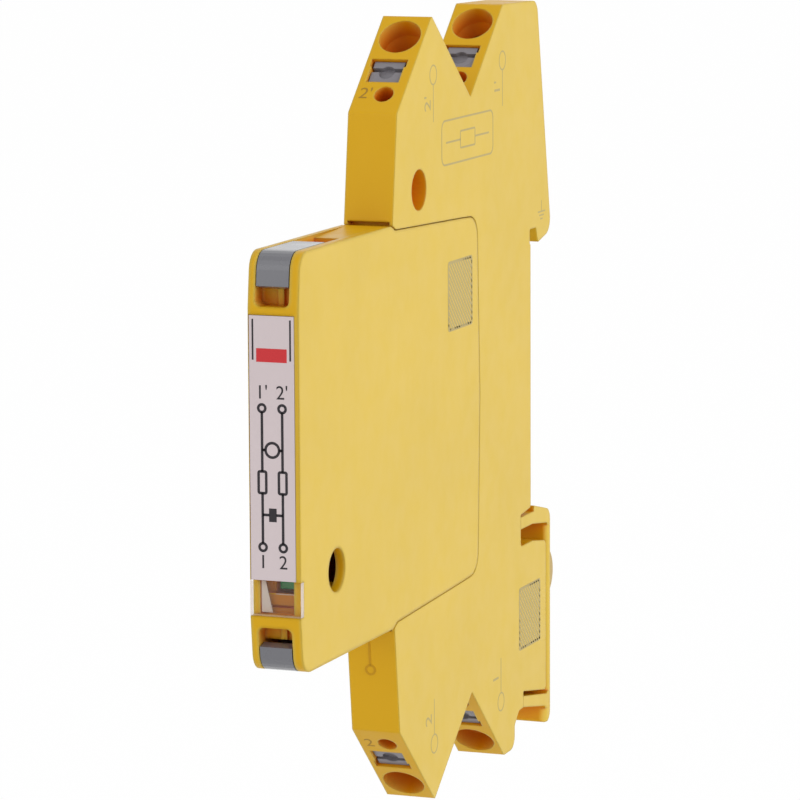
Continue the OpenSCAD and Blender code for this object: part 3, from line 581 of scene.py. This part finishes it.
# Deeper walls behind the window, painted brown-orange as their dim shade: the face of its ledge, with a
# groove and a painted highlight on its top edge, and the screen beside the flag
LEDGE_DEPTH, SCREEN_DEPTH = 1.6 * MM, 2.19 * MM
LEDGE_LOW, LEDGE_UP, LEDGE_GLINT, GROOVE_LOW, GROOVE_HIGH = 0.1 * MM, 2.3 * MM, 0.12 * MM, 0.7 * MM, 1.0 * MM
INNER_X0, INNER_X1, SCREEN_X1 = -2.1 * MM, 1.8 * MM, -0.85 * MM
ledge_face = on_face((0, view_low.y + LEDGE_DEPTH, 0), (1, 0, 0), (0, 0, 1))
screen_face = on_face((0, view_low.y + SCREEN_DEPTH, 0), (1, 0, 0), (0, 0, 1))


def view_front(bm):
    add_bar(bm, (view_low.x, view_low.z), (view_low.x + VIEW_EDGE, view_high.z))


def view_foot(bm):
    add_bar(bm, (view_low.x + VIEW_EDGE, view_low.z), (view_high.x, view_low.z + VIEW_FOOT))


def view_side(bm):
    add_bar(bm, (view_low.y, view_low.z), (view_low.y + VIEW_T, view_high.z))


def light_guide(bm):
    left, low, high = view_low.x + GUIDE_LEFT, view_low.z + GUIDE_UP, view_high.z - GUIDE_DOWN
    wedge = [(left, low), (left + GUIDE_FOOT, low), (left + GUIDE_TOP, high), (left, high)]
    bm.faces.new(loop(bm, wedge))


def ledge_wall(bm):
    base = view_low.z
    add_bar(bm, (INNER_X0, base + LEDGE_LOW), (INNER_X1, base + GROOVE_LOW))
    add_bar(bm, (INNER_X0, base + GROOVE_HIGH), (INNER_X1, base + LEDGE_UP - LEDGE_GLINT))


# Painted highlight along the ledge's top edge
def ledge_glint(bm):
    add_bar(bm, (flag_low.x, view_low.z + LEDGE_UP - LEDGE_GLINT), (INNER_X1, view_low.z + LEDGE_UP))


def screen_wall(bm):
    add_bar(bm, (INNER_X0, view_low.z + LEDGE_UP), (SCREEN_X1, view_high.z))


mark("window_glint_front", "module", label_face, clear_glint_and_frost, view_front)
mark("window_glint_low", "module", label_face, clear_foot_glint, view_foot)
mark("window_glint_side", "module", side, clear_glint_and_frost, view_side)
mark("window_guide", "module", guide_face, clear_glint_and_frost, light_guide)

# Brown-orange painted shade on the walls behind the window, and a painted highlight on the ledge's edge
mark("window_ledge", "module", ledge_face, bay_shade_brown, ledge_wall)
mark("window_ledge_glint", "module", ledge_face, clear_glint_and_frost, ledge_glint)
mark("window_screen", "module", screen_face, bay_shade_brown, screen_wall)

# Status flag: green at its lower end, and red above, which shows in the window when the flag drops
FLAG_GREEN = 2.6 * MM
flag_face = on_face((0, flag_low.y, 0), (1, 0, 0), (0, 0, 1))


def flag_field(bm):
    add_bar(bm, (flag_low.x, flag_low.z + FLAG_GREEN), (flag_high.x, flag_high.z))


mark("flag_field", "status_flag", flag_face, print_red, flag_field)


def button_coil(which):
    """A copy of a button's coil that rides on the module, in place of the coil of the model."""
    spring = "button_spring_" + which
    piece = bpy.data.objects.new("button_coil_" + which, nodes[spring].data.copy())
    piece.matrix_world = nodes[spring].matrix_world
    bpy.context.scene.collection.objects.link(piece)
    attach(piece, "module")
    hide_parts(spring)
    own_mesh(piece)


button_coil("upper")
button_coil("lower")


# Camera, from the photograph's calibration
AZIMUTH, ELEVATION, ROLL = (math.radians(v) for v in (21.144, 8.528, -0.286))
CAMERA_PLACE = Vector((190.633, -530.171, 81.020)) * MM
LENS, SENSOR = 205.77, 36
CLIP_NEAR, CLIP_FAR = 0.01, 20


def photo_camera():
    """The camera, at the photograph's angle."""
    right = Vector((math.cos(AZIMUTH), math.sin(AZIMUTH), 0))
    back = Vector((math.sin(AZIMUTH) * math.cos(ELEVATION), -math.cos(AZIMUTH) * math.cos(ELEVATION),
                   math.sin(ELEVATION)))
    up = back.cross(right)
    x = math.cos(ROLL) * right + math.sin(ROLL) * up
    y = -math.sin(ROLL) * right + math.cos(ROLL) * up
    data = bpy.data.cameras.new("camera")
    data.sensor_width, data.lens = SENSOR, LENS
    data.clip_start, data.clip_end = CLIP_NEAR, CLIP_FAR
    camera = bpy.data.objects.new("camera", data)
    matrix = Matrix((x, y, back)).transposed().to_4x4()
    matrix.translation = CAMERA_PLACE
    camera.matrix_world = matrix
    bpy.context.scene.collection.objects.link(camera)
    bpy.context.scene.camera = camera


# Studio: pale floor, white surround and soft lamps
SURROUND = 0.7
FLOOR_DROP = 0.1
FLOOR_HALF = 3.0
FLOOR_WHITE = 0.98
FLOOR_TONE, FLOOR_ROUGH = (0.94, 0.94, 0.94, 1), 0.8
AIM = Vector((0, -0.03, 0))
# Lamps: name, place, size and watts
LAMPS = (("key", (1.1, -0.3, 0.5), 0.8, 7.8), ("fill", (-0.7, -0.8, 0.4), 0.8, 2.3))


def seen_directly(tree):
    """1 for camera, glossy and transmission rays, and 0 for the rest."""
    path = tree.nodes.new("ShaderNodeLightPath")
    total = path.outputs["Is Camera Ray"]
    for name in ("Is Glossy Ray", "Is Transmission Ray"):
        node = tree.nodes.new("ShaderNodeMath")
        node.operation = "MAXIMUM"
        tree.links.new(total, node.inputs[0])
        tree.links.new(path.outputs[name], node.inputs[1])
        total = node.outputs[0]
    return total


def white_world():
    """A white surround that lights the part less than it shows."""
    world = bpy.data.worlds.new("studio")
    bpy.context.scene.world = world
    world.use_nodes = True
    tree = world.node_tree
    background = tree.nodes["Background"]
    background.inputs["Color"].default_value = (1, 1, 1, 1)
    tree.links.new(spread(tree, seen_directly(tree), SURROUND, 1, 0, 1), background.inputs["Strength"])


def floor():
    """A pale floor that looks almost white where it is seen directly."""
    mat, tree, shader = new_material("floor")
    shader.inputs["Base Color"].default_value = FLOOR_TONE
    shader.inputs["Roughness"].default_value = FLOOR_ROUGH
    white = add(tree, "ShaderNodeEmission", Color=(1, 1, 1, 1), Strength=1.0)
    mix = tree.nodes.new("ShaderNodeMixShader")
    tree.links.new(spread(tree, seen_directly(tree), 0, FLOOR_WHITE, 0, 1), mix.inputs["Fac"])
    tree.links.new(shader.outputs["BSDF"], mix.inputs[1])
    tree.links.new(white.outputs["Emission"], mix.inputs[2])
    tree.links.new(mix.outputs["Shader"], tree.nodes["Material Output"].inputs["Surface"])
    mesh = bpy.data.meshes.new("floor")
    half, z = FLOOR_HALF, cad_box[0][2] - FLOOR_DROP
    corners = [(-half, -half, z), (half, -half, z), (half, half, z), (-half, half, z)]
    mesh.from_pydata(corners, [], [(0, 1, 2, 3)])
    mesh.materials.append(mat)
    piece = bpy.data.objects.new("floor", mesh)
    bpy.context.scene.collection.objects.link(piece)


def lamps():
    """Two soft lamps that face the part."""
    for name, place, size, watts in LAMPS:
        lamp = bpy.data.lights.new(name, "AREA")
        lamp.size, lamp.energy = size, watts
        holder = bpy.data.objects.new(name, lamp)
        turn = (AIM - Vector(place)).to_track_quat("-Z", "Y").to_matrix().to_4x4()
        holder.matrix_world = Matrix.Translation(place) @ turn
        bpy.context.scene.collection.objects.link(holder)


bpy.context.scene.view_settings.view_transform = "Standard"
photo_camera()
white_world()
floor()
lamps()
